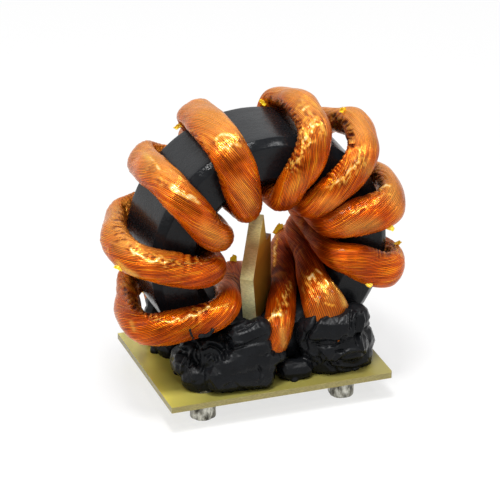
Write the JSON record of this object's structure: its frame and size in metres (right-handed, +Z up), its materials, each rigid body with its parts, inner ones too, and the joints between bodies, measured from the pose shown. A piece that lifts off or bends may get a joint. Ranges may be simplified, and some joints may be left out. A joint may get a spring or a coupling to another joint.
{
  "type": "toroidal inductor",
  "caption": "Upright ring core wound with thick twisted copper bundles, glued on a small laminate base plate with tinned pins underneath.",
  "frame": {"origin": "centre of the pin pattern, at the pins' lower ends", "axes": "+Z up out of the board, +Y along the core's axis to the rear, +X to the right seen from the front"},
  "size_m": [0.0796, 0.05, 0.0802],
  "materials": {
    "core_coating": "grey-black epoxy coating with a fine orange peel",
    "copper_bundle": "twisted enamelled copper strands under clear film",
    "divider_laminate": "cut glass laminate, slightly translucent",
    "base_laminate": "yellow-green glass laminate, satin",
    "tinned_copper": "uneven solder skin, dull silver",
    "black_adhesive": "semi-gloss black silicone in folds"
  },
  "bodies": {
    "root": {"core": "core_coating", "left_winding": "copper_bundle", "right_winding": "copper_bundle", "divider": "divider_laminate", "base_plate": "base_laminate", "pin_front_left": "tinned_copper", "pin_front_right": "tinned_copper", "pin_rear_left": "tinned_copper", "pin_rear_right": "tinned_copper", "adhesive_front_left": "black_adhesive", "adhesive_front_right": "black_adhesive", "adhesive_rear_left": "black_adhesive", "adhesive_rear_right": "black_adhesive", "adhesive_bed": "black_adhesive"}
  },
  "joints": []
}
